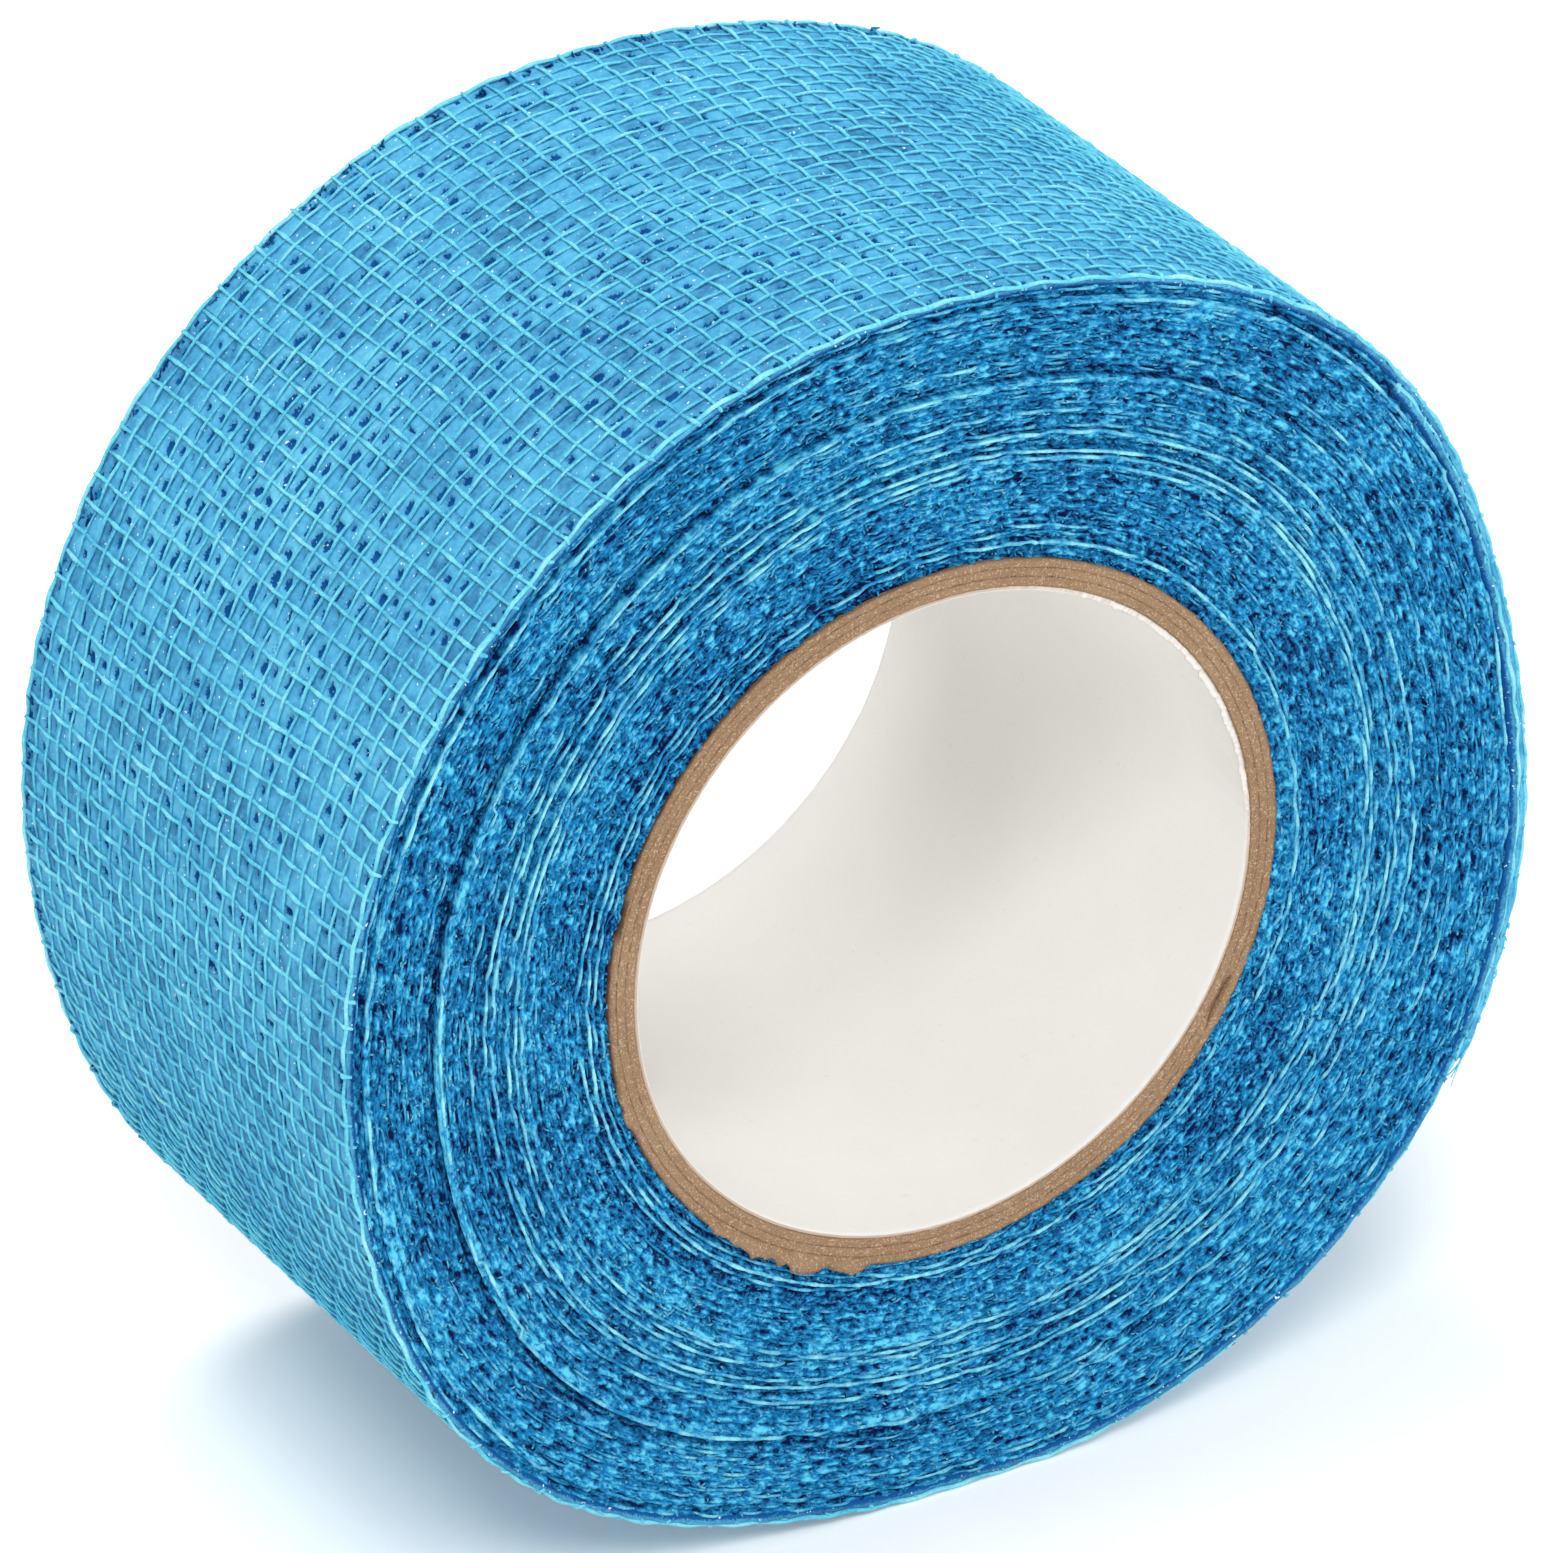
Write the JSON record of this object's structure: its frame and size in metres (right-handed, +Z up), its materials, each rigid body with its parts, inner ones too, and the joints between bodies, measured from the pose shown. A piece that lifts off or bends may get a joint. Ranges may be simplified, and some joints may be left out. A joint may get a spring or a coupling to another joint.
{
  "type": "gauze hand wrap roll",
  "caption": "Roll of light blue, open-weave, self-adhering gauze tape on a kraft paperboard core with a white liner, with a free end that peels off the rim.",
  "frame": {"origin": "centre of the core's bore, halfway along the core", "axes": "+Y along the bore from the front side to the back side, +Z up, with the roll standing on the small flat of its rim; the free end lies at +X"},
  "size_m": [0.0517, 0.0257, 0.0508],
  "materials": {
    "liner_paper": "smooth matte",
    "kraft_board": "matte cut edge",
    "glue": "dry glue",
    "gauze": "fuzzy cut edges",
    "gauze_outside": "open plain weave with a thin latex coat"
  },
  "bodies": {
    "roll": {"core_liner": "liner_paper", "core_ply_inner": "kraft_board", "core_ply_middle": "kraft_board", "core_ply_outer": "kraft_board", "start_glue": "glue", "first_turns": "gauze", "inner_turns": "gauze", "ridge_turns_a": "gauze", "ridge_turns_b": "gauze", "ridge_turns_c": "gauze", "middle_turns": "gauze", "outer_turns": "gauze", "closing_turns": "gauze", "top_turn": "gauze_outside"},
    "free_end_root": {"free_end_1": "gauze_outside"},
    "free_end_lower": {"free_end_2": "gauze_outside"},
    "free_end_upper": {"free_end_3": "gauze_outside"},
    "free_end_tip": {"free_end_4": "gauze_outside"}
  },
  "joints": [
    {"name": "peel_1", "type": "hinge", "parent": "roll", "child": "free_end_root", "pos_m": [0.02317, 0, 0.01157], "axis": [0, -1, 0], "range_deg": [0, 32]},
    {"name": "peel_2", "type": "hinge", "parent": "free_end_root", "child": "free_end_lower", "pos_m": [0.02528, 0, 0.00568], "axis": [0, -1, 0], "range_deg": [0, 32]},
    {"name": "peel_3", "type": "hinge", "parent": "free_end_lower", "child": "free_end_upper", "pos_m": [0.02592, 0, -0.00056], "axis": [0, -1, 0], "range_deg": [0, 32]},
    {"name": "peel_4", "type": "hinge", "parent": "free_end_upper", "child": "free_end_tip", "pos_m": [0.02504, 0, -0.00676], "axis": [0, -1, 0], "range_deg": [0, 32]}
  ],
  "couplings": [
    {"joint": "peel_2", "follows": "peel_1", "ratio": 1},
    {"joint": "peel_3", "follows": "peel_1", "ratio": 1},
    {"joint": "peel_4", "follows": "peel_1", "ratio": 1}
  ]
}
